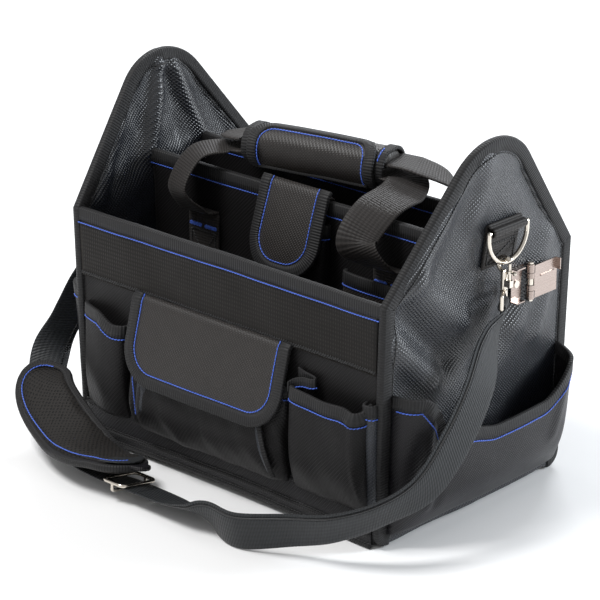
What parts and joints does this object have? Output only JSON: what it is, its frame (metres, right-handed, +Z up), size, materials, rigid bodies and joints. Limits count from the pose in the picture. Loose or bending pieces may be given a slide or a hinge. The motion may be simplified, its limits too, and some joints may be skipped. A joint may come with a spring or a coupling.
{
  "type": "garden tool bag",
  "caption": "Open-top fabric tool bag with gabled ends, dividers, flap pockets, a padded carry handle, a tape clip and a clip-on shoulder strap.",
  "frame": {"origin": "centre of the footprint on the floor", "axes": "+Z up, X along the length of the bag, the pocketed front faces -Y"},
  "size_m": [0.5067, 0.3631, 0.3651],
  "materials": {
    "end_fabric": "coated woven, soft sheen",
    "wall_fabric": "matt twill",
    "flap_fabric": "matt twill",
    "base_fabric": "coated woven",
    "board": "matt",
    "binding": "ribbed tape",
    "handle_webbing": "ribbed webbing",
    "strap_webbing": "ribbed webbing",
    "pad_mesh": "spacer mesh",
    "hook_and_loop": "matt pile",
    "nickel": "polished",
    "clip_nickel": "satin",
    "blue_thread": "twisted thread"
  },
  "bodies": {
    "bag": {"base_board": "board", "bottom_panel": "base_fabric", "front_wall": "wall_fabric", "rear_wall": "wall_fabric", "left_end_panel": "end_fabric", "right_end_panel": "end_fabric", "front_rim_binding": "binding", "rear_rim_binding": "binding", "left_end_binding": "binding", "right_end_binding": "binding", "front_band": "wall_fabric", "base_binding": "binding", "front_divider": "wall_fabric", "rear_divider": "wall_fabric", "front_divider_binding": "binding", "rear_divider_binding": "binding", "left_front_pocket": "wall_fabric", "centre_front_pocket": "wall_fabric", "right_front_pocket": "wall_fabric", "left_end_pocket": "end_fabric", "right_end_pocket": "end_fabric", "inner_pocket": "wall_fabric", "inner_low_pocket": "wall_fabric", "flap_loop_patch": "hook_and_loop", "inner_flap_saddle": "flap_fabric", "front_handle_roots": "handle_webbing", "rear_handle_roots": "handle_webbing", "left_ring_tab": "strap_webbing", "right_ring_tab": "strap_webbing", "shoulder_strap_right": "strap_webbing", "shoulder_strap_left": "strap_webbing", "shoulder_pad": "pad_mesh", "clip_base": "clip_nickel", "clip_rivets": "clip_nickel", "clip_pin": "clip_nickel", "clip_spring": "clip_nickel"},
    "front_flap": {"front_flap": "flap_fabric", "flap_hook_patch": "hook_and_loop"},
    "inner_flap": {"inner_flap": "flap_fabric"},
    "handle": {"front_handle_strap": "handle_webbing", "rear_handle_strap": "handle_webbing", "handle_grip": "flap_fabric"},
    "grip_flap": {"grip_flap": "flap_fabric"},
    "slider": {"strap_slider": "nickel"},
    "clip_jaw": {"clip_jaw": "clip_nickel"},
    "strap_end_right": {"right_d_ring": "nickel", "right_swivel_eye": "nickel", "right_strap_end": "strap_webbing"},
    "snap_hook_right": {"right_snap_hook": "nickel"},
    "hook_bolt_right": {"right_hook_bolt": "nickel"},
    "strap_end_left": {"left_d_ring": "nickel", "left_swivel_eye": "nickel", "left_strap_end": "strap_webbing"},
    "snap_hook_left": {"left_snap_hook": "nickel"},
    "hook_bolt_left": {"left_hook_bolt": "nickel"}
  },
  "joints": [
    {"name": "front_flap_hinge", "type": "hinge", "parent": "bag", "child": "front_flap", "pos_m": [-0.012, -0.1345, 0.168], "axis": [-1, 0, 0], "range_deg": [0, 150]},
    {"name": "inner_flap_hinge", "type": "hinge", "parent": "bag", "child": "inner_flap", "pos_m": [0.002, -0.033, 0.278], "axis": [-1, 0, 0], "range_deg": [0, 100]},
    {"name": "handle_lift", "type": "slide", "parent": "bag", "child": "handle", "axis": [0, 0, 1], "range_m": [0, 0.035]},
    {"name": "grip_flap_hinge", "type": "hinge", "parent": "handle", "child": "grip_flap", "pos_m": [-0.004, 0.01, 0.3208], "axis": [-0.9781, -0.2079, 0], "range_deg": [0, 110]},
    {"name": "slider_slide", "type": "slide", "parent": "bag", "child": "slider", "axis": [1, 0, 0], "range_m": [-0.004, 0.012]},
    {"name": "clip_jaw_hinge", "type": "hinge", "parent": "bag", "child": "clip_jaw", "pos_m": [0.2066, 0.064, 0.211], "axis": [0, 0, -1], "range_deg": [0, 18], "stiffness_Nm_per_rad": 0.05, "springref_deg": -11.46},
    {"name": "strap_end_right_swing", "type": "hinge", "parent": "bag", "child": "strap_end_right", "pos_m": [0.213, 0.021, 0.276], "axis": [0, -1, 0], "range_deg": [0, 25]},
    {"name": "snap_hook_right_swivel", "type": "hinge", "parent": "strap_end_right", "child": "snap_hook_right", "pos_m": [0.213, 0.017, 0.23], "axis": [0, 0, 1], "range_deg": [-15, 15]},
    {"name": "hook_bolt_right_slide", "type": "slide", "parent": "snap_hook_right", "child": "hook_bolt_right", "axis": [0, 0, -1], "range_m": [0, 0.0056], "stiffness_N_per_m": 150, "springref_m": -0.004},
    {"name": "strap_end_left_swing", "type": "hinge", "parent": "bag", "child": "strap_end_left", "pos_m": [-0.213, 0.021, 0.276], "axis": [0, 1, 0], "range_deg": [0, 25]},
    {"name": "snap_hook_left_swivel", "type": "hinge", "parent": "strap_end_left", "child": "snap_hook_left", "pos_m": [-0.213, 0.017, 0.23], "axis": [0, 0, 1], "range_deg": [-15, 15]},
    {"name": "hook_bolt_left_slide", "type": "slide", "parent": "snap_hook_left", "child": "hook_bolt_left", "axis": [0, 0, -1], "range_m": [0, 0.0056], "stiffness_N_per_m": 150, "springref_m": -0.004}
  ]
}
